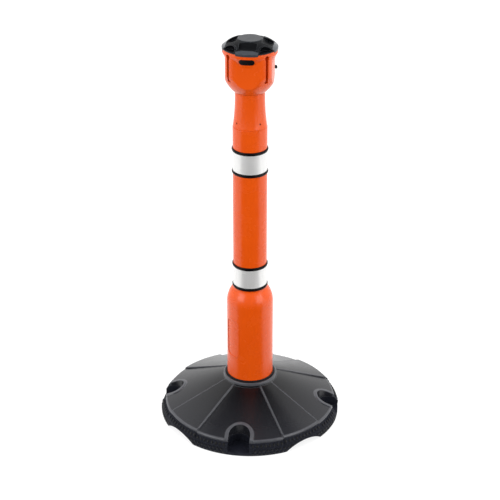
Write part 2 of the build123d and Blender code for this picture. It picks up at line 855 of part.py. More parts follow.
def recoil_spring():
    """Flat spiral spring between the spool's arbor and its case."""
    outer_limit = case_radius - case_wall - seat_gap
    step = (outer_limit - spring_inner - spring_strip) / spring_turns
    inner_edges = spiral_half_turns(spring_inner, step, spring_turns)
    outer_edges = spiral_half_turns(spring_inner + spring_strip, step, spring_turns)
    start = Line(inner_edges[0] @ 0, outer_edges[0] @ 0)
    end = Line(inner_edges[-1] @ 1, outer_edges[-1] @ 1)
    strip = make_face(inner_edges + outer_edges + [start, end])
    low = head_z + head_floor + case_wall + spring_lift
    return Pos(0, 0, low) * extrude(strip, spring_height)


def spool():
    """Hub with its lower flange and the arbor that the recoil spring drives."""
    foot = head_z + spindle_boss + washer_height + rest_gap
    flange = head_z + hub_foot
    top = head_z + tape_foot + tape_height + rest_gap
    body = rod(arbor_radius, foot, flange) + rod(flange_radius, flange, flange + flange_height)
    body += rod(hub_radius, flange, top)
    body -= tube(hub_radius - hub_wall, arbor_radius, flange + flange_height, top)
    return body - rod(spindle_radius + running_gap, foot, top)


def spool_lid():
    low = head_z + tape_foot + tape_height + rest_gap
    return tube(flange_radius, spindle_radius + seat_gap, low, low + flange_height)


def spindle_clip():
    low = head_z + tape_foot + tape_height + 2 * rest_gap + flange_height
    return tube(clip_radius, spindle_radius, low, low + clip_height)


def tape_roll():
    low = head_z + tape_foot
    return tube(tape_roll_radius, hub_radius + seat_gap, low, low + tape_height)


def tape_lead():
    """Tape from the roll to the mouth of its slot, made along +X and turned to its corner."""
    run = channel_centre * cos(tape_lean())
    low = head_z + tape_foot
    half = tape_thickness / 2
    height = (low, low + tape_height)
    lean = Pos(channel_centre, 0, 0) * Rot(0, 0, degrees(tape_lean()))
    inside = lean * block((-run, 0), (-half, half), height)
    outside = block((channel_centre - half, rim_radius), (-half, half), height)
    return turn(tape_angle, inside + outside)


def tape_end():
    """Bar on the end of the tape, with the headed stud that hooks into another post's keyhole."""
    near = rim_radius + 2 * rest_gap
    low = head_z + tape_foot + (tape_height - end_height) / 2
    section = RectangleRounded(end_depth, end_width, end_round)
    bar = Pos(near + end_depth / 2, 0, low) * extrude(section, end_height)
    bar = chamfer(bar.edges().group_by(Axis.Z)[0] + bar.edges().group_by(Axis.Z)[-1], end_bevel)
    far = near + end_depth
    tip = far + end_stud_length
    stud = rod(end_stud_neck, far - overlap, tip) + rod(end_stud_radius, tip - end_stud_head, tip)
    bar += Pos(0, 0, low + end_stud_z) * Rot(0, 90, 0) * stud
    return turn(tape_angle, bar)


def lock_button():
    """Oblong push button with the flange that keeps it in the head."""
    outer = flare_form(button_proud)
    flange_far = cavity_radius + pocket_depth - rest_gap
    flange_near = flange_far - button_flange
    play = 2 * slip_gap
    stem = pill(button_width - play, button_height - play, flange_near, rim_radius + cut_past) & outer
    stem = fillet(stem.faces().sort_by(Axis.X)[-1].edges(), button_round)
    half_width = button_width / 2 + button_flange_edge
    half_height = button_height / 2 + button_flange_edge
    middle = head_z + button_z
    flange = block((flange_near, flange_far), (-half_width, half_width),
                   (middle - half_height, middle + half_height))
    return turn(button_angle, stem + flange)


def brake_shoe():
    """Pad behind the button that is pressed on the edge of the spool's lid."""
    far = cavity_radius + pocket_depth - rest_gap - button_flange
    face = flange_radius + button_travel + brake_gap
    lid_z = head_z + tape_foot + tape_height + rest_gap + flange_height / 2
    pad = block((face - shoe_width / 2, far), (-shoe_width / 2, shoe_width / 2),
                (lid_z - shoe_height / 2, lid_z + shoe_height / 2))
    return turn(button_angle, pad - rod(face, head_z, rim_z))


def button_spring():
    """Leaf spring that hangs behind the button's flange, on both sides of the brake shoe."""
    leaf = leaf_slot(0)
    x = leaf_place(0)
    low = head_z + button_z - button_height / 2
    high = leaf_top_z() - leaf_bar + overlap
    for side in (-1, 1):
        edges = sorted((side * (button_width / 2 - leaf_width), side * button_width / 2))
        leaf += block(x, edges, (low, high))
    return turn(button_angle, leaf)


pieces = {
    "base_weight": base_weight(),
    "base_cover": base_cover(),
    "socket_cup": socket_cup(),
    "socket_seal": socket_seal(),
    "cup_screws": cup_screws(),
    "cover_screws": cover_screws(),
    "post_sleeve": post_sleeve(),
    "post_tube": post_tube(),
    "foot_plug": foot_plug(),
    "upper_reflective_band": reflective_band(upper_rings),
    "lower_reflective_band": reflective_band(lower_rings),
    "neck_joiner": neck_joiner(),
    "neck": neck(),
    "neck_screws": neck_screws(),
    "head_shell": head_shell(),
    "cap": cap(),
    "spindle": spindle(),
    "spindle_clip": spindle_clip(),
    "thrust_washer": thrust_washer(),
    "spring_case": spring_case(),
    "spring_cover": spring_cover(),
    "recoil_spring": recoil_spring(),
    "spool": spool(),
    "spool_lid": spool_lid(),
    "tape_roll": tape_roll(),
    "tape_lead": tape_lead(),
    "tape_end": tape_end(),
    "lock_button": lock_button(),
    "brake_shoe": brake_shoe(),
    "button_spring": button_spring(),
}
for number, height in enumerate(upper_rings + lower_rings, 1):
    pieces[f"band_ring_{number}"] = band_ring(height)

os.makedirs("parts", exist_ok=True)
for name, piece in pieces.items():
    solids = piece if isinstance(piece, list) else [piece]
    export_step(Compound(children=solids), f"parts/{name}.step")
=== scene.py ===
"""Looks of a barrier post with a retractable tape: rubber nubs, striped tape, finishes and a studio."""

import json
import math

import bmesh
import bpy
from bpy.props import FloatProperty, FloatVectorProperty, IntProperty, PointerProperty
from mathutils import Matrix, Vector
from mathutils.bvhtree import BVHTree


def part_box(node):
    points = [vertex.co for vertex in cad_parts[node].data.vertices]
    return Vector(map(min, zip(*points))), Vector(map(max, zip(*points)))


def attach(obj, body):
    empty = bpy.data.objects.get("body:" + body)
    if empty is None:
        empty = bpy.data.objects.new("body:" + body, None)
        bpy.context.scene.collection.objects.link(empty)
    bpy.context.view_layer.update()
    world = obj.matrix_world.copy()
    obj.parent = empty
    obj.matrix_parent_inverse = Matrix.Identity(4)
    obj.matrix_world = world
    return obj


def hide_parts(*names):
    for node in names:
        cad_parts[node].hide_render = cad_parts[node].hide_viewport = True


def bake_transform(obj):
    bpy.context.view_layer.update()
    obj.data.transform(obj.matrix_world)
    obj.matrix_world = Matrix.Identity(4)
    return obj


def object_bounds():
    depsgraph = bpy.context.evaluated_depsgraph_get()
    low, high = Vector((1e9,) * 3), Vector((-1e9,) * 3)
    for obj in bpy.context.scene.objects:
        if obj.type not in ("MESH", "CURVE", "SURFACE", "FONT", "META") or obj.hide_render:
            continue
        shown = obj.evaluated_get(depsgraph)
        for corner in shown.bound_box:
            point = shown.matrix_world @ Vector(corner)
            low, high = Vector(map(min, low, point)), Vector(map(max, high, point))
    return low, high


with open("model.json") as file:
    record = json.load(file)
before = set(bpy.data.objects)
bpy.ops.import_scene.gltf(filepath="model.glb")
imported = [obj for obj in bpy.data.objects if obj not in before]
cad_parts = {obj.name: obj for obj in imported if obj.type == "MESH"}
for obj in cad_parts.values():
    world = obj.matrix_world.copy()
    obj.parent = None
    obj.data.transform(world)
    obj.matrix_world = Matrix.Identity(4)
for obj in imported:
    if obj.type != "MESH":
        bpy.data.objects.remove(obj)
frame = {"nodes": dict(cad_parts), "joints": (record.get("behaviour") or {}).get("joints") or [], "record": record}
cad_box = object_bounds()

bl_info = {
    "name": "Barrier post looks",
    "version": (1, 0, 0),
    "blender": (4, 5, 0),
    "location": "3D View > Sidebar > Barrier post",
    "description": "Finishes a packed barrier post with nubs, striped tape, materials and a studio",
    "category": "Object",
}

UP = Vector((0, 0, 1))
TAPE_DIRECTION = Vector((math.sqrt(0.5), math.sqrt(0.5), 0))


# Sizes read from the frame

def opening(name):
    """Lowest and highest corner of one of the record's openings."""
    boxes = {box["name"]: box["box_m"] for box in frame["record"]["physics"]["openings"]}
    return [Vector(corner) for corner in boxes[name]]


def travel_of(joint):
    """Length of a sliding joint's travel."""
    ranges = {entry["name"]: entry.get("range_m") for entry in frame["joints"]}
    return ranges[joint][1]


def radii_of(node):
    """Smallest and largest distance of a node's points from the post's axis."""
    distances = [point.co.to_2d().length for point in frame["nodes"][node].data.vertices]
    return min(distances), max(distances)


def reach_of(node):
    """Largest distance of a node from the post's axis."""
    return radii_of(node)[1]


def outward(heading):
    """Level direction away from the post's axis."""
    return Vector((math.cos(heading), math.sin(heading), 0))


# Room that the boxes of the notches' openings leave at the sides and at the round inner end
NOTCH_SIDE_ROOM = 0.0045
NOTCH_END_ROOM = 0.0035
NOTCH_OPEN = opening("right_notch")[1].y
NOTCH_HALF = NOTCH_OPEN + NOTCH_SIDE_ROOM
NOTCH_CENTRE = opening("right_notch_end")[0].x - NOTCH_END_ROOM + NOTCH_HALF


# Sizes and colours that a user may change

def colour(name, description, default):
    """Colour that can be changed."""
    return FloatVectorProperty(name=name, description=description, subtype="COLOR", size=3,
                               min=0, max=1, default=default)


def length(name, description, default):
    """Length in metres that can be changed."""
    return FloatProperty(name=name, description=description, unit="LENGTH", min=0, default=default)


def angle(name, description, degrees):
    """Angle that can be changed, given in degrees."""
    return FloatProperty(name=name, description=description, subtype="ANGLE", default=math.radians(degrees))


def power(name, description, default):
    """Power of a lamp that can be changed."""
    return FloatProperty(name=name, description=description, unit="POWER", min=0, default=default)


class BaseLooks(bpy.types.PropertyGroup):
    """Sizes and colours of the base."""

    nub_count: IntProperty(name="Nubs round", description="Nubs in one row round the side",
                           min=12, default=134)
    nub_proud: length("Nub depth", "How far a nub stands out of the side", 0.0021)
    stud_width: length("Stud width", "Width of a round nub on the upright side", 0.0062)
    low_row: length("Low row", "Height of the lower row of round nubs", 0.0068)
    high_row: length("High row", "Height of the upper row of round nubs", 0.0152)
    oval_width: length("Oval width", "Width of an oval nub on the slope under the rim", 0.0062)
    oval_length: length("Oval length", "Length of an oval nub down the slope", 0.0100)
    oval_inset: length("Oval inset", "Distance of the oval nubs in from the upright side", 0.0046)
    plain_margin: length("Plain margin", "Side left plain next to a notch", 0.014)
    # Widths of painted highlights: the cover is painted paler along its rim, notch lips, creases and collar
    rim_highlight: length("Rim line", "Width of the worn line along the cover's rim", 0.0055)
    lip_highlight: length("Lip line", "Width of the worn line round a notch", 0.0085)
    crease_highlight: length("Crease line", "Half width of the worn line along a crease", 0.0032)
    collar_highlight: length("Collar line", "Height of the worn line on the collar", 0.0080)
    crease_turn: angle("Crease turn", "Angle of a crease from its panel's middle", 15)
    # The cover's colour is painted darker near the post, as painted shade, and paler towards its rim, as painted
    # light
    cover: colour("Cover", "Dark plastic of the cover near the post", (0.003, 0.003, 0.004))
    cover_rim_light: colour("Outer cover", "Greyer plastic of the cover near its rim", (0.014, 0.0145, 0.018))
    # Paler colour of the painted highlights on the cover and the socket, and of the cover's dust
    cover_highlight_and_dust: colour("Cover edges", "Paler plastic along the cover's edges", (0.075, 0.077, 0.087))
    rubber: colour("Rubber", "Dark rubber of the weight", (0.007, 0.008, 0.013))
    crumb: colour("Crumb", "Paler crumbs in the rubber", (0.022, 0.025, 0.036))
    # The nubs are darker than the band's rubber: partly their black rubber, partly painted shade between them
    nub_black_and_shade: colour("Nubs", "Black rubber of the nubs", (0.003, 0.003, 0.004))
    seal: colour("Seal", "Black rubber of the seal", (0.007, 0.007, 0.008))


class PostLooks(bpy.types.PropertyGroup):
    """Sizes and colours of the post."""

    orange: colour("Orange", "Plastic of the post and the head", (0.705, 0.082, 0.003))
    orange_deep: colour("Deep orange", "Darker streaks in the plastic", (0.668, 0.072, 0.002))
    scuff: colour("Scuffs", "Dull scuffs low on the post", (0.520, 0.085, 0.020))
    ring: colour("Rings", "Black rings beside the bands", (0.003, 0.003, 0.004))
    film: colour("Film", "Silver of the reflective bands", (0.790, 0.788, 0.779))
    film_line: colour("Film lines", "Lines between the film's prisms", (0.577, 0.577, 0.572))
    film_pitch: length("Prism size", "Size of the prisms in the film", 0.0042)


class HeadLooks(bpy.types.PropertyGroup):
    """Sizes and colours of the head and what is in it."""

    cap: colour("Cap", "Black plastic of the cap and the button", (0.004, 0.0044, 0.0055))
    # Paler colour of the cap's disc, tabs and edges, a painted highlight; the disc height and tab sizes below
    # bound it
    cap_highlight: colour("Cap edges", "Paler plastic along the cap's edges", (0.085, 0.095, 0.112))
    disc_highlight: length("Disc edge", "Height of the polished part of the cap's disc", 0.0016)
    tab_start: length("Tab start", "Distance from the axis at which a tab's polished face starts", 0.0565)
    tab_half: length("Tab half width", "Half the width of a tab's polished face", 0.0270)
    nylon: colour("Nylon", "Pale plastic of the reel", (0.550, 0.545, 0.520))
    steel: colour("Steel", "Zinc plating of the screws and the spindle", (0.560, 0.565, 0.580))
    blackened: colour("Blackened steel", "Dark oxide on the neck's screws", (0.030, 0.022, 0.020))
    spring: colour("Spring", "Blued steel of the springs", (0.300, 0.310, 0.340))
    leaf_bend: length("Leaf bend", "Height over which the button's leaf spring bends", 0.0020)


class TapeLooks(bpy.types.PropertyGroup):
    """Sizes and colours of the tape."""

    stripe: length("Stripe step", "Length of one red and one white stripe", 0.100)
    red_share: FloatProperty(name="Red share", description="Share of a step that is red",
                             subtype="FACTOR", min=0, max=1, default=0.47)
    thickness: length("Thickness", "Thickness of the tape", 0.0006)
    yarn: length("Yarn", "Step of the woven yarns", 0.0008)
    turns: IntProperty(name="Turns", description="Turns of tape drawn on the reel", min=4, default=22)
    red: colour("Red", "Red stripes", (0.780, 0.004, 0.006))
    red_deep: colour("Deep red", "Red on the crowns of the yarns", (0.550, 0.020, 0.020))
    white: colour("White", "White stripes", (0.840, 0.825, 0.830))


class StageLooks(bpy.types.PropertyGroup):
    """Camera, floor and light."""

    camera_turn: angle("Camera turn", "Camera's angle from the front", 7.5)
    camera_away: length("Camera distance", "Level distance from the post to the camera", 3.41)
    camera_height: length("Camera height", "Height of the camera above the floor", 2.17)
    lens: FloatProperty(name="Lens", description="Focal length in millimetres", min=1, default=108)
    aim_height: length("Aim", "Height that the camera looks at", 0.470)
    floor: colour("Floor", "Pale floor", (0.850, 0.850, 0.850))
    sky: FloatProperty(name="Sky", description="Light from all round", min=0, default=1.03)
    key: power("Key", "Power of the main soft light", 64)
    fill: power("Fill", "Power of the soft light on the other side", 48)
    top: power("Top", "Power of the soft light above", 58)


LOOKS = {
    "barrier_base": BaseLooks,
    "barrier_post": PostLooks,
    "barrier_head": HeadLooks,
    "barrier_tape": TapeLooks,
    "barrier_stage": StageLooks,
}


# Shader nodes

def add(tree, kind, inputs=None, **settings):
    """New node with its settings made and its inputs set or linked."""
    node = tree.nodes.new(kind)
    for key, value in settings.items():
        setattr(node, key, value)
    for key, value in (inputs or {}).items():
        if isinstance(value, bpy.types.NodeSocket):
            tree.links.new(value, node.inputs[key])
        else:
            node.inputs[key].default_value = value
    return node


def maths(tree, operation, first, second=0.0, clamp=False):
    """Result of one sum on two values."""
    node = add(tree, "ShaderNodeMath", {0: first, 1: second}, operation=operation, use_clamp=clamp)
    return node.outputs[0]


def weaker(tree, mask, share):
    """Mask held to a share of itself."""
    return maths(tree, "MULTIPLY", mask, share)


def most(tree, *masks):
    """Largest of some masks."""
    result = masks[0]
    for mask in masks[1:]:
        result = maths(tree, "MAXIMUM", result, mask)
    return result


def distance(tree, first, second):
    """Length of two distances at right angles."""
    squares = maths(tree, "ADD", maths(tree, "POWER", first, 2.0), maths(tree, "POWER", second, 2.0))
    return maths(tree, "SQRT", squares)


def spread(tree, value, low, high, to_low=0.0, to_high=1.0):
    """Value stretched from one range to another and held inside it."""
    node = add(tree, "ShaderNodeMapRange", {0: value, 1: low, 2: high, 3: to_low, 4: to_high})
    return node.outputs[0]


def near(tree, away, full, none):
    """1 up to one distance, falling to 0 at a larger one."""
    return spread(tree, away, full, none, 1.0, 0.0)


def mixed(tree, share, first, second):
    """Colour between two colours."""
    node = add(tree, "ShaderNodeMix", {0: share, 6: first, 7: second}, data_type="RGBA")
    return node.outputs[2]


def opaque(rgb):
    """Colour with a full alpha, as shader sockets take it."""
    return (*rgb, 1.0)


def place_on(tree):
    """Place on the surface in the post's frame, in metres."""
    return add(tree, "ShaderNodeTexCoord").outputs["Object"]


def split(tree, vector):
    """X, Y and Z of a vector."""
    return add(tree, "ShaderNodeSeparateXYZ", {0: vector}).outputs


def from_middle(tree):
    """Distances from the two upright middle planes, and the height, of a place on the surface."""
    place = split(tree, place_on(tree))
    return maths(tree, "ABSOLUTE", place["X"]), maths(tree, "ABSOLUTE", place["Y"]), place["Z"]


def facing_up(tree):
    """How far the surface faces up: 1 where it is level."""
    return split(tree, add(tree, "ShaderNodeNewGeometry").outputs["Normal"])["Z"]


def noise(tree, size, detail, roughness=0.5):
    """Noise over the surface, with spots of about a size."""
    scale = maths(tree, "DIVIDE", 1.0, size)
    node = add(tree, "ShaderNodeTexNoise", {"Vector": place_on(tree), "Scale": scale,
                                            "Detail": detail, "Roughness": roughness})
    return node.outputs[0]


# Shared effects

# Share of soft noise in the grain, with the rest in cells
SOFT_GRAIN = 0.55
# Stretch of noise that the drift of tone uses
DRIFT_NOISE = (0.3, 0.7)
# Bends that start and fill a paler edge, which is partly wear and partly painted highlight, the noise that breaks
# it, and how much the breaks leave
EDGE_BEND = (0.01, 0.18)
EDGE_NOISE = (0.25, 0.6)
EDGE_LEFT = (0.45, 1.0)
# Lean at which dust starts and is full, the noise of its patches, and its share on level places
DUST_LEAN = (0.55, 1.0)
DUST_NOISE = (0.42, 0.75)
DUST_ON_LEVEL = 0.5
BEVEL_SAMPLES = 6


def new_group(name, inputs, outputs):
    """Empty shader group with number inputs and outputs, and its two end nodes."""
    group = bpy.data.node_groups.new(name, "ShaderNodeTree")
    for label, default in inputs.items():
        socket = group.interface.new_socket(label, in_out="INPUT", socket_type="NodeSocketFloat")
        socket.default_value = default
    for label in outputs:
        group.interface.new_socket(label, in_out="OUTPUT", socket_type="NodeSocketFloat")
    return group, add(group, "NodeGroupInput"), add(group, "NodeGroupOutput")


def grain_group():
    """Fine grain of a moulded surface."""
    group, start, end = new_group("Moulded grain", {"Size": 0.0008}, ["Height"])
    soft = noise(group, start.outputs["Size"], detail=2.0)
    scale = maths(group, "DIVIDE", 1.0, start.outputs["Size"])
    cells = add(group, "ShaderNodeTexVoronoi", {"Vector": place_on(group), "Scale": scale},
                feature="SMOOTH_F1")
    height = maths(group, "ADD", weaker(group, soft, SOFT_GRAIN),
                   weaker(group, cells.outputs["Distance"], 1 - SOFT_GRAIN))
    group.links.new(height, end.inputs["Height"])
    return group


def drift_group():
    """Slow change of tone over a large surface."""
    group, start, end = new_group("Tone drift", {"Size": 0.12}, ["Drift"])
    spots = noise(group, start.outputs["Size"], detail=5.0, roughness=0.6)
    group.links.new(spread(group, spots, *DRIFT_NOISE), end.inputs["Drift"])
    return group


def edge_group():
    """Mask along sharp edges, broken up by noise; the finishes paint it paler, partly as wear and partly as a
    painted highlight.
    """
    group, start, end = new_group("Worn edges", {"Width": 0.0012, "Breaks": 0.006}, ["Edge"])
    round_normal = add(group, "ShaderNodeBevel", {"Radius": start.outputs["Width"]}, samples=BEVEL_SAMPLES)
    normal = add(group, "ShaderNodeNewGeometry").outputs["Normal"]
    alike = add(group, "ShaderNodeVectorMath", {0: round_normal.outputs[0], 1: normal},
                operation="DOT_PRODUCT").outputs["Value"]
    bend = spread(group, maths(group, "SUBTRACT", 1.0, alike), *EDGE_BEND)
    breaks = noise(group, start.outputs["Breaks"], detail=3.0)
    left = spread(group, breaks, *EDGE_NOISE, *EDGE_LEFT)
    group.links.new(maths(group, "MULTIPLY", bend, left), end.inputs["Edge"])
    return group


def dust_group():
    """Mask of dust that settles on level places and of dirt near the floor."""
    group, start, end = new_group("Settled dust", {"Reach": 0.05, "Grit": 0.004}, ["Dust"])
    height = split(group, place_on(group))["Z"]
    low = maths(group, "SUBTRACT", 1.0, maths(group, "DIVIDE", height, start.outputs["Reach"]), clamp=True)
    level = spread(group, facing_up(group), *DUST_LEAN)
    grit = noise(group, start.outputs["Grit"], detail=6.0, roughness=0.7)
    patches = spread(group, grit, *DUST_NOISE)
    both = maths(group, "ADD", weaker(group, level, DUST_ON_LEVEL), low, clamp=True)
    group.links.new(maths(group, "MULTIPLY", both, patches), end.inputs["Dust"])
    return group


GROUP_MAKERS = {
    "grain": grain_group,
    "drift": drift_group,
    "edge": edge_group,
    "dust": dust_group,
}
GROUPS = {}


def effect(tree, name, **values):
    """Output of one of the shared shader groups, placed with its own values."""
    if name not in GROUPS:
        GROUPS[name] = GROUP_MAKERS[name]()
    node = add(tree, "ShaderNodeGroup", node_tree=GROUPS[name])
    for key, value in values.items():
        node.inputs[key].default_value = value
    return node.outputs[0]


# Parts of a finish

def blank_material(name):
    """New material without nodes, and its node tree."""
    material = bpy.data.materials.new(name)
    material.use_nodes = True
    material.node_tree.nodes.clear()
    return material, material.node_tree


def new_material(name, **constants):
    """Material with a Principled shader whose plain values are set on its own sockets."""
    material, tree = blank_material(name)
    shader = add(tree, "ShaderNodeBsdfPrincipled")
    for key, value in constants.items():
        shader.inputs[key.replace("_", " ")].default_value = value
    add(tree, "ShaderNodeOutputMaterial", {"Surface": shader.outputs[0]})
    return material, tree, shader


def paint(tree, shader, tone):
    """Base colour from a tone."""
    tree.links.new(tone, shader.inputs["Base Color"])


def drifting(tree, size, low, high):
    """Value that drifts between two others over the surface."""
    return spread(tree, effect(tree, "drift", Size=size), 0.0, 1.0, low, high)


def roughen(tree, shader, size, low, high):
    """Roughness that drifts between two values over the surface."""
    tree.links.new(drifting(tree, size, low, high), shader.inputs["Roughness"])


def relief(tree, shader, height, depth, strength, edge_round=0.0):
    """Bumps from a height, over edges that are rounded a little."""
    bump = add(tree, "ShaderNodeBump", {"Height": height, "Distance": depth, "Strength": strength})
    if edge_round:
        soft = add(tree, "ShaderNodeBevel", {"Radius": edge_round}, samples=BEVEL_SAMPLES)
        tree.links.new(soft.outputs[0], bump.inputs["Normal"])
    tree.links.new(bump.outputs[0], shader.inputs["Normal"])


# Finishes

def orange_plastic(looks):
    """Satin orange plastic, a little scuffed low down."""
    material, tree, shader = new_material("orange_plastic", IOR=1.46, Specular_IOR_Level=0.45)
    tone = mixed(tree, effect(tree, "drift", Size=0.07), opaque(looks.orange), opaque(looks.orange_deep))
    dirt = weaker(tree, effect(tree, "dust", Reach=0.35, Grit=0.030), share=0.15)
    paint(tree, shader, mixed(tree, dirt, tone, opaque(looks.scuff)))
    roughen(tree, shader, size=0.03, low=0.22, high=0.30)
    grain_height = effect(tree, "grain", Size=0.0007)
    relief(tree, shader, grain_height, depth=0.00012, strength=0.25, edge_round=0.0009)
    return material


# Shares of a painted highlight's width: where the rim, collar and creases are painted fully lit, and where the
# lips end
RIM_CORE = 0.6
COLLAR_CORE = 0.7
CREASE_CORE = 0.5
LIP_END = 1.2
# Lean at which a lip's painted highlight starts and is full, so that only its up-facing parts are painted lit, and
# the strength of the creases' painted highlight
LIP_LEAN = (0.05, 0.45)
CREASE_HIGHLIGHT = 0.8
# Share of the cover's radius from which its colour turns paler towards the rim: painted light there, painted shade
# nearer the post
RIM_LIGHT_START = 0.4


def cover_highlight_lines(tree, looks):
    """Mask of painted highlights along the cover's rim, creases, notch lips and collar."""
    over, along, height = from_middle(tree)
    radius = distance(tree, over, along)
    to_rim = maths(tree, "SUBTRACT", reach_of("base_cover"), radius)
    rim = near(tree, to_rim, looks.rim_highlight * RIM_CORE, looks.rim_highlight)
    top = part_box("base_cover")[1].z
    collar = spread(tree, height, top - looks.collar_highlight, top - looks.collar_highlight * COLLAR_CORE)
    half = maths(tree, "MINIMUM", over, along)
    inner = maths(tree, "MAXIMUM", over, along)
    back = maths(tree, "MINIMUM", maths(tree, "SUBTRACT", inner, NOTCH_CENTRE), 0.0)
    lip = near(tree, distance(tree, half, back), NOTCH_HALF + looks.lip_highlight,
               NOTCH_HALF + looks.lip_highlight * LIP_END)
    lip = maths(tree, "MULTIPLY", lip, spread(tree, facing_up(tree), *LIP_LEAN))
    turn = maths(tree, "ARCTAN2", half, inner)
    off_crease = maths(tree, "SUBTRACT", turn, math.radians(45) - looks.crease_turn)
    off_crease = maths(tree, "MULTIPLY", maths(tree, "ABSOLUTE", off_crease), radius)
    crease = spread(tree, off_crease, looks.crease_highlight * CREASE_CORE, looks.crease_highlight, CREASE_HIGHLIGHT, 0.0)
    return most(tree, rim, lip, collar, crease)


def cover_plastic(looks):
    """Dark grey grained plastic, painted darker near the post and paler towards the rim, with painted highlights
    along its edges, rim, creases, notch lips and collar, and some dust.
    """
    material, tree, shader = new_material("cover_plastic", IOR=1.45)
    edge = effect(tree, "edge", Width=0.0030, Breaks=0.010)
    breaks = drifting(tree, size=0.012, low=0.75, high=1.0)
    lines = maths(tree, "MULTIPLY", cover_highlight_lines(tree, looks), breaks)
    # Paler edges and lines: painted highlights, the edges partly wear
    highlight_mask = weaker(tree, most(tree, edge, lines), share=0.85)
    over, along, _ = from_middle(tree)
    reach = reach_of("base_cover")
    # Painted shade near the post, fading to painted light towards the rim
    outer = spread(tree, distance(tree, over, along), reach * RIM_LIGHT_START, reach)
    plain = mixed(tree, outer, opaque(looks.cover), opaque(looks.cover_rim_light))
    tone = mixed(tree, highlight_mask, plain, opaque(looks.cover_highlight_and_dust))
    dirt = weaker(tree, effect(tree, "dust", Reach=0.06, Grit=0.003), share=0.08)
    paint(tree, shader, mixed(tree, dirt, tone, opaque(looks.cover_highlight_and_dust)))
    roughen(tree, shader, size=0.05, low=0.20, high=0.27)
    grain_height = effect(tree, "grain", Size=0.0014)
    relief(tree, shader, grain_height, depth=0.00020, strength=0.30, edge_round=0.0012)
    return material


# Crumbs in a metre of rubber, which of them are paler, and by how much
CRUMBS_IN_A_METRE = 420.0
CRUMB_PICK = (0.55, 1.0)
CRUMB_PALER = (0.0, 0.6)


def base_rubber(looks):
    """Black rubber pressed from crumbs."""
    material, tree, shader = new_material("base_rubber", IOR=1.45, Specular_IOR_Level=0.15)
    crumbs = add(tree, "ShaderNodeTexVoronoi", {"Vector": place_on(tree), "Scale": CRUMBS_IN_A_METRE})
    pale = spread(tree, crumbs.outputs["Color"], *CRUMB_PICK, *CRUMB_PALER)
    tone = mixed(tree, pale, opaque(looks.rubber), opaque(looks.crumb))
    # Paler edges: partly wear, partly painted highlight
    edge = weaker(tree, effect(tree, "edge", Width=0.0015, Breaks=0.004), share=0.5)
    paint(tree, shader, mixed(tree, edge, tone, opaque(looks.crumb)))
    roughen(tree, shader, size=0.02, low=0.55, high=0.72)
    grain_height = effect(tree, "grain", Size=0.0022)
    relief(tree, shader, grain_height, depth=0.0005, strength=0.5, edge_round=0.0012)
    return material


def moulded_finish(name, tone, edge_tone, edge_width, grain, roughness, shine):
    """Moulded plastic or rubber with a fine grain and edges of another tone."""
    material, tree, shader = new_material(name, IOR=1.46, Specular_IOR_Level=shine)
    # Paler edges: partly wear, partly painted highlight
    edge = weaker(tree, effect(tree, "edge", Width=edge_width, Breaks=0.008), share=0.8)
    paint(tree, shader, mixed(tree, edge, opaque(tone), opaque(edge_tone)))
    roughen(tree, shader, size=0.03, low=roughness - 0.05, high=roughness + 0.06)
    grain_height = effect(tree, "grain", Size=grain)
    relief(tree, shader, grain_height, depth=0.00018, strength=0.4, edge_round=0.0008)
    return material


# Share of the disc's highlight height at which its painted highlight is full, how strong that is, and the fade
# beside a tab
DISC_CORE = 0.5
DISC_HIGHLIGHT = 0.42
TAB_FADE = 0.001


def cap_highlight_mask(tree, looks):
    """Mask of painted highlights on the cap: its level disc on top and the outer faces of its tabs."""
    over, along, height = from_middle(tree)
    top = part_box("cap")[1].z
    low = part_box("lock_button")[1].z
    disc = spread(tree, height, top - looks.disc_highlight, top - looks.disc_highlight * DISC_CORE, 0.0, DISC_HIGHLIGHT)
    outer = spread(tree, maths(tree, "MAXIMUM", over, along), looks.tab_start, looks.tab_start + TAB_FADE)
    beside = near(tree, maths(tree, "MINIMUM", over, along), looks.tab_half, looks.tab_half + TAB_FADE)
    above = spread(tree, height, low, low + TAB_FADE)
    tab = maths(tree, "MULTIPLY", maths(tree, "MULTIPLY", outer, beside), above)
    return most(tree, disc, tab)


def cap_plastic(looks):
    """Black plastic with a coat and a paler colour on its disc, tabs and edges, the paler colour a painted
    highlight, and matt in its hollows.
    """
    material, tree, shader = new_material("cap_plastic", IOR=1.46, Specular_IOR_Level=0.14,
                                          Coat_Roughness=0.22, Coat_IOR=1.5)
    edge = effect(tree, "edge", Width=0.0016, Breaks=0.008)
    breaks = drifting(tree, size=0.010, low=0.8, high=1.0)
    painted_highlight = maths(tree, "MULTIPLY", most(tree, cap_highlight_mask(tree, looks), edge), breaks)
    tree.links.new(painted_highlight, shader.inputs["Coat Weight"])
    paler = weaker(tree, painted_highlight, share=0.5)
    paint(tree, shader, mixed(tree, paler, opaque(looks.cap), opaque(looks.cap_highlight)))
    roughen(tree, shader, size=0.03, low=0.38, high=0.50)
    grain_height = effect(tree, "grain", Size=0.0008)
    relief(tree, shader, grain_height, depth=0.00018, strength=0.4, edge_round=0.0008)
    return material


# Directions of the lines between the film's prisms, in degrees, and their half width as a share of a prism
PRISM_TURNS = (0, 60, 120)
PRISM_LINE = 0.07


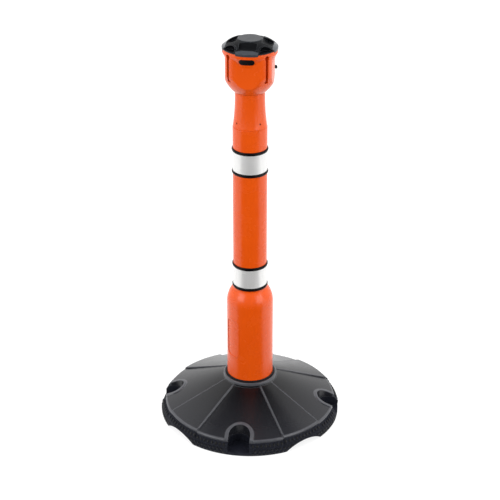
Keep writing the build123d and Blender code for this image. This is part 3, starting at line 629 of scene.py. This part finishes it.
def reflective_film(looks):
    """Silver film with a pattern of small prisms under a clear face."""
    material, tree, shader = new_material("reflective_film", Metallic=0.45, Coat_Weight=1.0,
                                          Coat_Roughness=0.05, IOR=1.5)
    place = split(tree, place_on(tree))
    round_angle = maths(tree, "ARCTAN2", place["Y"], place["X"])
    along = maths(tree, "MULTIPLY", round_angle, reach_of("upper_reflective_band"))
    families = []
    for turn in map(math.radians, PRISM_TURNS):
        across = maths(tree, "ADD", maths(tree, "MULTIPLY", along, math.cos(turn)),
                       maths(tree, "MULTIPLY", place["Z"], math.sin(turn)))
        wave = maths(tree, "PINGPONG", across, looks.film_pitch / 2)
        families.append(near(tree, wave, 0.0, looks.film_pitch * PRISM_LINE))
    lines = most(tree, *families)
    greyer = weaker(tree, lines, share=0.55)
    paint(tree, shader, mixed(tree, greyer, opaque(looks.film), opaque(looks.film_line)))
    roughen(tree, shader, size=0.02, low=0.38, high=0.48)
    relief(tree, shader, lines, depth=0.00005, strength=0.5)
    return material


# Tone of a metal's dull patches, as a share of its own
DULL_METAL = 0.8


def metal(name, tone, roughness):
    """Steel with a fine grain, dulled in patches."""
    material, tree, shader = new_material(name, Metallic=1.0)
    dull = [part * DULL_METAL for part in tone]
    paint(tree, shader, mixed(tree, effect(tree, "drift", Size=0.012), opaque(tone), opaque(dull)))
    roughen(tree, shader, size=0.004, low=roughness - 0.06, high=roughness + 0.1)
    grain_height = effect(tree, "grain", Size=0.0005)
    relief(tree, shader, grain_height, depth=0.00004, strength=0.4, edge_round=0.0004)
    return material


# Half the width over which a stripe turns into the next, as a share of a step
STRIPE_FADE = 0.004


def tape_fabric(looks):
    """Woven tape with slanting red and white stripes. Its UV map is in metres of tape."""
    material, tree, shader = new_material("tape_fabric", IOR=1.45, Sheen_Weight=0.15, Sheen_Roughness=0.4)
    place = split(tree, add(tree, "ShaderNodeTexCoord").outputs["UV"])
    slant = maths(tree, "SUBTRACT", place["X"], place["Y"])
    step = maths(tree, "FRACT", maths(tree, "DIVIDE", slant, looks.stripe))
    edge = looks.red_share / 2
    red = near(tree, maths(tree, "PINGPONG", step, 0.5), edge - STRIPE_FADE, edge + STRIPE_FADE)
    warp = maths(tree, "PINGPONG", place["Y"], looks.yarn / 2)
    weft = maths(tree, "PINGPONG", maths(tree, "ADD", place["X"], warp), looks.yarn / 2)
    yarn = maths(tree, "DIVIDE", maths(tree, "ADD", warp, weft), looks.yarn)
    tone = mixed(tree, red, opaque(looks.white), opaque(looks.red))
    shade = mixed(tree, weaker(tree, yarn, share=0.25), tone, opaque(looks.red_deep))
    paint(tree, shader, mixed(tree, red, tone, shade))
    roughen(tree, shader, size=0.02, low=0.50, high=0.62)
    relief(tree, shader, yarn, depth=0.00012, strength=0.5)
    return material


# Pieces

FINISHES = {}


def dress(node, material):
    """Gives a CAD node a material in place of its plain one."""
    mesh = frame["nodes"][node].data
    mesh.materials.clear()
    mesh.materials.append(material)


def finish_nodes(slot, material):
    """Gives a material to every CAD node of a slot, and keeps it for new pieces."""
    FINISHES[slot] = material
    for part in frame["record"]["subparts"]:
        if part["material_slot"] == slot:
            dress(part["node"], material)


def mesh_from(name, made):
    """Mesh of what a bmesh holds. The bmesh is freed."""
    mesh = bpy.data.meshes.new(name)
    made.to_mesh(mesh)
    made.free()
    return mesh


def new_piece(name, mesh, slot, body=None, finish=None):
    """New piece of the object with the finish of a slot, or with one of its own."""
    piece = bpy.data.objects.new(name, mesh)
    bpy.context.scene.collection.objects.link(piece)
    mesh.materials.append(finish or FINISHES[slot])
    if body:
        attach(piece, body)
    return piece


# Base

# Corners round a nub, and each of its rings as shares of its width and of its depth
NUB_SIDES = 8
NUB_RINGS = ((1.0, -0.25), (0.92, 0.45), (0.66, 0.86), (0.30, 1.0))
# Distance from which the weight's surface is looked for
SIGHT = 1.0
# Most that a nub's rim may stand off the surface
FIT_SLACK = 0.0005
# Width of the band that has nubs, and the lean from which a place counts as level and stays plain
SLOPE_DEPTH = 0.012
LEVEL = 0.95


def weight_surface():
    """Search tree of the rubber weight's surface."""
    mesh = frame["nodes"]["base_weight"].data
    return BVHTree.FromPolygons([v.co for v in mesh.vertices], [face.vertices for face in mesh.polygons])


def on_side(surface, heading, height):
    """Place and normal on the upright side at a heading and a height."""
    return surface.ray_cast(outward(heading) * SIGHT + UP * height, -outward(heading))[:2]


def on_slope(surface, heading, radius):
    """Place and normal on the slope under the rim at a heading and a radius."""
    return surface.ray_cast(outward(heading) * radius + UP * SIGHT, -UP)[:2]


def tangents(normal):
    """Directions across and up a surface of the side."""
    across = UP.cross(normal).normalized()
    return across, normal.cross(across)


def nub_fits(surface, place, normal, width, height, inmost, margin):
    """Whether a nub's foot lies whole on the side, clear of notches and finger gaps."""
    if place.to_2d().length < inmost or normal.z > LEVEL:
        return False
    if min(abs(place.x), abs(place.y)) < NOTCH_OPEN + margin:
        return False
    across, upward = tangents(normal)
    for sideways, along in ((1, 0), (-1, 0), (0, 1), (0, -1)):
        rim = place + across * (sideways * width / 2) + upward * (along * height / 2)
        if (surface.find_nearest(rim)[0] - rim).length > FIT_SLACK:
            return False
    return True


def add_nub(mesh, place, normal, width, height, proud):
    """One rounded nub on a place of the side."""
    across, upward = tangents(normal)
    rings = []
    for share, rise in NUB_RINGS:
        middle = place + normal * (rise * proud)
        ring = []
        for index in range(NUB_SIDES):
            turn = 2 * math.pi * index / NUB_SIDES
            offset = across * (math.cos(turn) * share * width / 2)
            offset += upward * (math.sin(turn) * share * height / 2)
            ring.append(mesh.verts.new(middle + offset))
        rings.append(ring)
    for lower, upper in zip(rings, rings[1:]):
        for index in range(NUB_SIDES):
            follow = (index + 1) % NUB_SIDES
            mesh.faces.new((lower[index], lower[follow], upper[follow], upper[index]))
    mesh.faces.new(rings[-1])
    mesh.faces.new(reversed(rings[0]))


def side_nubs(looks):
    """Two rows of round nubs on the upright side, and a row of ovals on the slope above them."""
    surface = weight_surface()
    reach = reach_of("base_weight")
    mesh = bmesh.new()
    for index in range(looks.nub_count):
        heading = 2 * math.pi * index / looks.nub_count
        between = heading + math.pi / looks.nub_count
        rows = (
            (on_side(surface, heading, looks.low_row), looks.stud_width, looks.stud_width),
            (on_side(surface, between, looks.high_row), looks.stud_width, looks.stud_width),
            (on_slope(surface, heading, reach - looks.oval_inset), looks.oval_width, looks.oval_length),
        )
        for (place, normal), width, height in rows:
            if nub_fits(surface, place, normal, width, height, reach - SLOPE_DEPTH, looks.plain_margin):
                add_nub(mesh, place, normal, width, height, looks.nub_proud)
    made = mesh_from("side_nubs", mesh)
    made.shade_smooth()
    # Darker than the band: partly black rubber, partly painted shade
    finish = moulded_finish("nub_rubber", looks.nub_black_and_shade, looks.crumb, edge_width=0.0010, grain=0.0010,
                           roughness=0.40, shine=0.35)
    return new_piece("side_nubs", made, "base_rubber", "base", finish)


class BARRIER_OT_base(bpy.types.Operator):
    """Finish the base and put the nubs on its side"""

    bl_idname = "barrier.base"
    bl_label = "Base"

    def execute(self, context):
        looks = context.scene.barrier_base
        finish_nodes("base_rubber", base_rubber(looks))
        finish_nodes("cover_plastic", cover_plastic(looks))
        seal = moulded_finish("seal_rubber", looks.seal, looks.crumb, edge_width=0.0008, grain=0.0010,
                             roughness=0.50, shine=0.2)
        finish_nodes("seal_rubber", seal)
        socket = moulded_finish("socket_plastic", looks.cover, looks.cover_highlight_and_dust, edge_width=0.0010,
                               grain=0.0012, roughness=0.50, shine=0.3)
        finish_nodes("socket_plastic", socket)
        side_nubs(looks)
        return {"FINISHED"}


# Post

class BARRIER_OT_post(bpy.types.Operator):
    """Finish the tube, the sleeve, the neck, the rings and the reflective bands"""

    bl_idname = "barrier.post"
    bl_label = "Post"

    def execute(self, context):
        looks = context.scene.barrier_post
        finish_nodes("orange_plastic", orange_plastic(looks))
        rings = moulded_finish("ring_black", looks.ring, looks.ring, edge_width=0.0006, grain=0.0008,
                              roughness=0.40, shine=0.12)
        finish_nodes("ring_black", rings)
        finish_nodes("reflective_film", reflective_film(looks))
        return {"FINISHED"}


# Head

# Steps in which the leaf spring bends, and the distance within which its mesh is welded
LEAF_STEPS = 6
WELD = 0.000001


def leaf_spring(looks):
    """Leaf spring of the lock button, cut into steps over the height where it bends, between its slot and the
    button's flange.
    """
    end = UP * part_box("lock_button")[1].z
    start = end + UP * looks.leaf_bend
    mesh = bmesh.new()
    mesh.from_mesh(frame["nodes"]["button_spring"].data)
    bmesh.ops.remove_doubles(mesh, verts=mesh.verts, dist=WELD)
    for index in range(LEAF_STEPS + 1):
        everything = mesh.verts[:] + mesh.edges[:] + mesh.faces[:]
        level = start.lerp(end, index / LEAF_STEPS)
        bmesh.ops.bisect_plane(mesh, geom=everything, plane_co=level, plane_no=UP)
    leaf = new_piece("button_leaf", mesh_from("button_leaf", mesh), "spring_steel")
    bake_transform(leaf)
    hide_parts("button_spring")
    return leaf


class BARRIER_OT_head(bpy.types.Operator):
    """Finish the cap, the button, the reel and the metal pieces"""

    bl_idname = "barrier.head"
    bl_label = "Head"

    def execute(self, context):
        looks = context.scene.barrier_head
        finish_nodes("cap_plastic", cap_plastic(looks))
        reel = moulded_finish("reel_plastic", looks.nylon, looks.nylon, edge_width=0.0010, grain=0.0012,
                             roughness=0.45, shine=0.4)
        finish_nodes("reel_plastic", reel)
        finish_nodes("steel", metal("steel", looks.steel, roughness=0.34))
        dress("neck_screws", metal("blackened_steel", looks.blackened, roughness=0.5))
        finish_nodes("spring_steel", metal("spring_steel", looks.spring, roughness=0.30))
        leaf_spring(looks)
        return {"FINISHED"}


# Tape

# Distance from the bar back to the slot's inner end
SLOT_DEPTH = 0.0084
# The stretch that is drawn out starts this far past that end, and ends this far before the bar
STRETCH_START = 0.002
STRETCH_END = 0.0004
# Length of tape inside the bar
BAR_TUCK = 0.002
# Steps of the tape from the roll to the slot, in the slot, and in one turn on the reel
LEAD_STEPS = 6
BELT_STEPS = 48
TURN_STEPS = 72
# Share of the tape's thickness that its turns on the reel have, so that none touch
WOUND_SHARE = 0.8


def strip(name, path, lengths, foot, top, thickness):
    """Flat band that stands on edge along a path, with a UV map in metres of tape."""
    mesh = bmesh.new()
    uv = mesh.loops.layers.uv.new("tape")
    rows = []
    for index, point in enumerate(path):
        before = path[max(index - 1, 0)]
        after = path[min(index + 1, len(path) - 1)]
        ahead = (after - before).normalized()
        aside = Vector((-ahead.y, ahead.x, 0)) * (thickness / 2)
        left = point + aside
        right = point - aside
        corners = ((left, foot), (left, top), (right, top), (right, foot))
        rows.append([mesh.verts.new((place.x, place.y, height)) for place, height in corners])
    for index in range(len(rows) - 1):
        for corner in range(4):
            follow = (corner + 1) % 4
            face = mesh.faces.new((rows[index][corner], rows[index + 1][corner],
                                   rows[index + 1][follow], rows[index][follow]))
            for loop in face.loops:
                row = index if loop.vert in rows[index] else index + 1
                loop[uv].uv = (lengths[row], loop.vert.co.z - foot)
    for row in (rows[0], list(reversed(rows[-1]))):
        mesh.faces.new(row)
    bmesh.ops.recalc_face_normals(mesh, faces=mesh.faces)
    return mesh_from(name, mesh)


def eased_back(share):
    """Place between 0 and 1 at which a smooth step has risen to a share."""
    return 0.5 - math.sin(math.asin(1 - 2 * share) / 3)


def tape_belt(looks):
    """Tape from the reel through its slot to the bar. The stretch in the slot is gathered in steps, with a UV map
    that spans the length that the bar draws out.
    """
    low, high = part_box("tape_lead")
    roll = reach_of("tape_roll")
    bar = min(v.co.dot(TAPE_DIRECTION) for v in frame["nodes"]["tape_end"].data.vertices)
    slot = bar - SLOT_DEPTH
    start = slot + STRETCH_START
    end = bar - STRETCH_END
    tip = bar + BAR_TUCK
    travel = travel_of("tape_pull")
    leave = math.atan2(TAPE_DIRECTION.y, TAPE_DIRECTION.x) - math.acos(roll / slot)
    off_roll = outward(leave) * (roll + looks.thickness)
    bend = TAPE_DIRECTION * slot
    path = [off_roll.lerp(bend, index / LEAD_STEPS) for index in range(LEAD_STEPS)]
    lengths = [-(point - bend).length for point in path]
    for index in range(BELT_STEPS + 1):
        share = index / BELT_STEPS
        place = start + (end - start) * eased_back(share)
        path.append(TAPE_DIRECTION * place)
        lengths.append(place - slot + share * travel)
    path.append(TAPE_DIRECTION * tip)
    lengths.append(tip - slot + travel)
    mesh = strip("tape_belt", path, lengths, low.z, high.z, looks.thickness)
    belt = new_piece("tape_belt", mesh, "tape_fabric")
    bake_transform(belt)
    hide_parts("tape_lead")
    return belt


def tape_winding(looks):
    """Turns of tape on the reel, as one wound band."""
    low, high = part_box("tape_roll")
    core, full = radii_of("tape_roll")
    inner = core + looks.thickness
    outer = full - looks.thickness
    steps = looks.turns * TURN_STEPS
    path = []
    lengths = [0.0]
    for index in range(steps + 1):
        radius = inner + (outer - inner) * index / steps
        path.append(outward(2 * math.pi * index / TURN_STEPS) * radius)
        if index:
            lengths.append(lengths[-1] + (path[-1] - path[-2]).length)
    mesh = strip("tape_winding", path, lengths, low.z, high.z, looks.thickness * WOUND_SHARE)
    winding = new_piece("tape_winding", mesh, "tape_fabric", "reel")
    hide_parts("tape_roll")
    return winding


class BARRIER_OT_tape(bpy.types.Operator):
    """Make the striped tape on the reel and in its slot"""

    bl_idname = "barrier.tape"
    bl_label = "Tape"

    def execute(self, context):
        looks = context.scene.barrier_tape
        finish_nodes("tape_fabric", tape_fabric(looks))
        tape_winding(looks)
        tape_belt(looks)
        return {"FINISHED"}


# Stage

WHITE = (1.0, 1.0, 1.0, 1.0)
FLOOR_HALF = 8.0
FLOOR_DROP = 0.0004
# What the floor shows where it is seen: a share that takes shadows, and a plain glow
SEEN_DIFFUSE = 0.26
SEEN_GLOW = 0.82
# Inner and outer radius of the dark card on the floor. The upright card stands at the outer one
CARD_NEAR = 0.26
CARD_FAR = 4.5
# Height of the card on the floor, of the upright card's top and of the card overhead, and that card's radius
CARD_LIFT = 0.004
CARD_TOP = 7.0
CARD_ABOVE = 7.0
CARD_OVERHEAD = 4.2
# Half the angle that the first two cards span, and the steps in which every card bends
CARD_HALF = math.radians(62)
CARD_STEPS = 16
CARD_TONE = (0.012, 0.012, 0.013, 1.0)
# Place and size of each soft lamp, and whether gloss shows it
LAMPS = {
    "key": ((-2.6, -2.8, 1.8), 2.2, True),
    "fill": ((2.9, -1.7, 1.3), 2.0, True),
    "top": ((0.0, 0.6, 3.2), 2.4, False),
}
LAMP_AIM = (0, 0, 0.5)


def stage_piece(name, mesh, material):
    """Object of the stage, which isn't part of the post."""
    mesh.materials.append(material)
    piece = bpy.data.objects.new(name, mesh)
    bpy.context.scene.collection.objects.link(piece)
    return piece


def seen_rays(tree):
    """1 for rays that show the background: to the camera, in gloss and through glass."""
    path = add(tree, "ShaderNodeLightPath").outputs
    return most(tree, path["Is Camera Ray"], path["Is Glossy Ray"], path["Is Transmission Ray"])


def floor_material(looks):
    """Pale floor that is seen as white and keeps the object's shadow."""
    material, tree = blank_material("pale_floor")
    plain = add(tree, "ShaderNodeBsdfDiffuse", {"Color": opaque(looks.floor)})
    shadow = add(tree, "ShaderNodeBsdfDiffuse", {"Color": opaque([SEEN_DIFFUSE] * 3)})
    glow = add(tree, "ShaderNodeEmission", {"Strength": SEEN_GLOW})
    seen = add(tree, "ShaderNodeAddShader", {0: shadow.outputs[0], 1: glow.outputs[0]})
    both = add(tree, "ShaderNodeMixShader", {0: seen_rays(tree), 1: plain.outputs[0], 2: seen.outputs[0]})
    add(tree, "ShaderNodeOutputMaterial", {"Surface": both.outputs[0]})
    return material


def set_floor(looks):
    """Wide level floor just under the base."""
    half = FLOOR_HALF
    mesh = bpy.data.meshes.new("floor")
    corners = [(-half, -half, 0), (half, -half, 0), (half, half, 0), (-half, half, 0)]
    mesh.from_pydata(corners, [], [(0, 1, 2, 3)])
    floor = stage_piece("floor", mesh, floor_material(looks))
    floor.location.z = cad_box[0].z - FLOOR_DROP


def card_material(looks):
    """Dark on the side that the post sees, and as bright as the sky on the other, which the floor sees."""
    material, tree = blank_material("dark_card")
    dark = add(tree, "ShaderNodeBsdfDiffuse", {"Color": CARD_TONE})
    bright = add(tree, "ShaderNodeEmission", {"Strength": looks.sky})
    side = add(tree, "ShaderNodeNewGeometry").outputs["Backfacing"]
    both = add(tree, "ShaderNodeMixShader", {0: side, 1: dark.outputs[0], 2: bright.outputs[0]})
    add(tree, "ShaderNodeOutputMaterial", {"Surface": both.outputs[0]})
    return material


def dark_card(name, material, start, end, middle, half):
    """Dark card that bends round the post, out of the camera's and the lamps' sight."""
    mesh = bmesh.new()
    rows = []
    for index in range(CARD_STEPS + 1):
        ahead = outward(middle + half * (2 * index / CARD_STEPS - 1))
        rows.append([mesh.verts.new(ahead * reach + UP * height) for reach, height in (start, end)])
    for before, after in zip(rows, rows[1:]):
        mesh.faces.new((before[0], before[1], after[1], after[0]))
    card = stage_piece(name, mesh_from(name, mesh), material)
    card.visible_camera = False
    card.visible_transmission = False
    card.visible_shadow = False
    return card


def set_cards(looks):
    """Dark cards on the floor, behind the camera and overhead, so that round faces look round."""
    middle = looks.camera_turn - math.pi / 2
    material = card_material(looks)
    foot = (CARD_FAR, CARD_LIFT)
    dark_card("floor_card", material, (CARD_NEAR, CARD_LIFT), foot, middle, CARD_HALF)
    front = dark_card("front_card", material, foot, (CARD_FAR, CARD_TOP), middle, CARD_HALF)
    edge = (CARD_OVERHEAD, CARD_ABOVE)
    over = dark_card("top_card", material, edge, (CARD_LIFT, CARD_ABOVE), middle, math.pi)
    for card in (front, over):
        card.visible_diffuse = False


def set_world(looks):
    """Even light from all round, seen as a white background."""
    world = bpy.data.worlds.new("studio")
    world.use_nodes = True
    tree = world.node_tree
    tree.nodes.clear()
    light = add(tree, "ShaderNodeBackground", {"Color": WHITE, "Strength": looks.sky})
    white = add(tree, "ShaderNodeBackground", {"Color": WHITE, "Strength": 1.0})
    both = add(tree, "ShaderNodeMixShader", {0: seen_rays(tree), 1: light.outputs[0], 2: white.outputs[0]})
    add(tree, "ShaderNodeOutputWorld", {"Surface": both.outputs[0]})
    bpy.context.scene.world = world


def aim(thing, target):
    """Turns a lamp or a camera towards a place."""
    thing.rotation_euler = (Vector(target) - thing.location).to_track_quat("-Z", "Y").to_euler()


def soft_light(name, place, size, energy, shows):
    """Square lamp that points at the middle of the post."""
    lamp = bpy.data.lights.new(name, "AREA")
    lamp.energy = energy
    lamp.size = size
    light = bpy.data.objects.new(name, lamp)
    light.location = place
    light.visible_glossy = shows
    bpy.context.scene.collection.objects.link(light)
    aim(light, LAMP_AIM)


def set_camera(looks):
    """Camera that looks down at the post from the front."""
    camera = bpy.data.objects.new("camera", bpy.data.cameras.new("camera"))
    away = looks.camera_away
    camera.location = (away * math.sin(looks.camera_turn), -away * math.cos(looks.camera_turn),
                       looks.camera_height)
    camera.data.lens = looks.lens
    bpy.context.scene.collection.objects.link(camera)
    aim(camera, (0, 0, looks.aim_height))
    bpy.context.scene.camera = camera


class BARRIER_OT_stage(bpy.types.Operator):
    """Set the floor, the lights and the camera"""

    bl_idname = "barrier.stage"
    bl_label = "Stage"

    def execute(self, context):
        looks = context.scene.barrier_stage
        set_floor(looks)
        set_cards(looks)
        set_world(looks)
        for name, (place, size, shows) in LAMPS.items():
            soft_light(name, place, size, getattr(looks, name), shows)
        set_camera(looks)
        context.scene.view_settings.view_transform = "Standard"
        return {"FINISHED"}


# Panel and registration

OPERATORS = (BARRIER_OT_base, BARRIER_OT_post, BARRIER_OT_head, BARRIER_OT_tape, BARRIER_OT_stage)


class BARRIER_PT_looks(bpy.types.Panel):
    """Sizes, colours and steps of the barrier post"""

    bl_label = "Barrier post"
    bl_space_type = "VIEW_3D"
    bl_region_type = "UI"
    bl_category = "Barrier post"

    def draw(self, context):
        for operator, name in zip(OPERATORS, LOOKS):
            box = self.layout.box()
            box.operator(operator.bl_idname)
            looks = getattr(context.scene, name)
            for key in looks.__annotations__:
                box.prop(looks, key)


CLASSES = (*LOOKS.values(), *OPERATORS, BARRIER_PT_looks)


def register():
    """Adds the classes, and the looks to the scene."""
    for entry in CLASSES:
        bpy.utils.register_class(entry)
    for name, group in LOOKS.items():
        setattr(bpy.types.Scene, name, PointerProperty(type=group))


def unregister():
    """Takes the looks and the classes away again."""
    for name in LOOKS:
        delattr(bpy.types.Scene, name)
    for entry in reversed(CLASSES):
        bpy.utils.unregister_class(entry)


def main():
    """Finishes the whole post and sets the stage."""
    register()
    bpy.ops.barrier.base()
    bpy.ops.barrier.post()
    bpy.ops.barrier.head()
    bpy.ops.barrier.tape()
    bpy.ops.barrier.stage()


if __name__ == "__main__":
    main()
